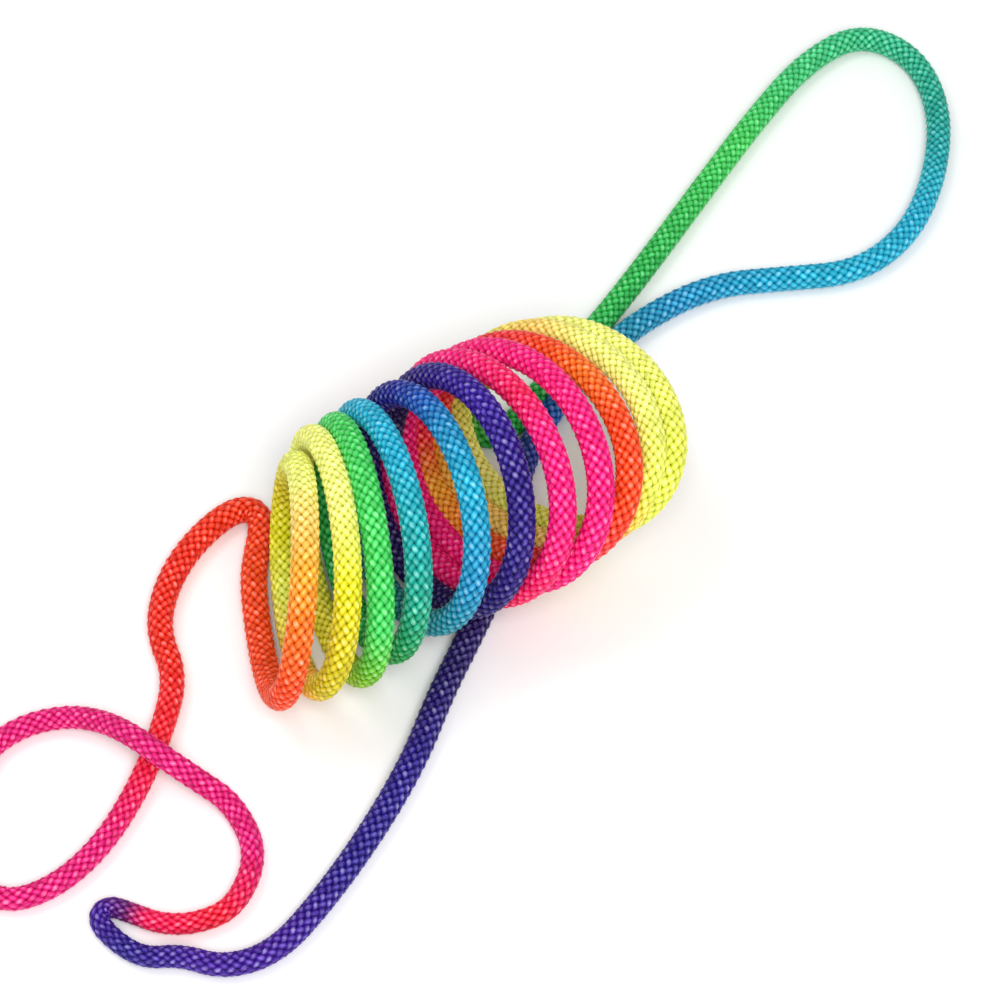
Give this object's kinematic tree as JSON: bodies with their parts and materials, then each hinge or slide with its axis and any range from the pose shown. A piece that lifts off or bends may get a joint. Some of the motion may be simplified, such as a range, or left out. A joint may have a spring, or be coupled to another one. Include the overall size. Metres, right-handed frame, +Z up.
{
  "type": "rainbow string game loop",
  "caption": "Closed loop of soft braided rainbow cord, laid down in a loose coil with a long bight at the back and a folded tail in front.",
  "frame": {"origin": "middle of the loop's whole footprint, on the surface it lies on", "axes": "+Z up; +Y away from the front fold towards the back bight; +X to the right"},
  "size_m": [0.1529, 0.1797, 0.0352],
  "materials": {
    "braid": "matte braided microfibre, dyed in a slow rainbow",
    "braid_orange": "matte braided microfibre, orange-red stretch",
    "braid_green": "matte braided microfibre, green to blue stretch",
    "braid_pink": "matte braided microfibre, purple to pink stretch",
    "weld": "fused fibre ends, slightly glossy"
  },
  "bodies": {
    "root": {"coil": "braid", "lead_in": "braid_orange", "back_loop": "braid_green", "lead_out": "braid_pink", "end_weld": "weld"}
  },
  "joints": []
}
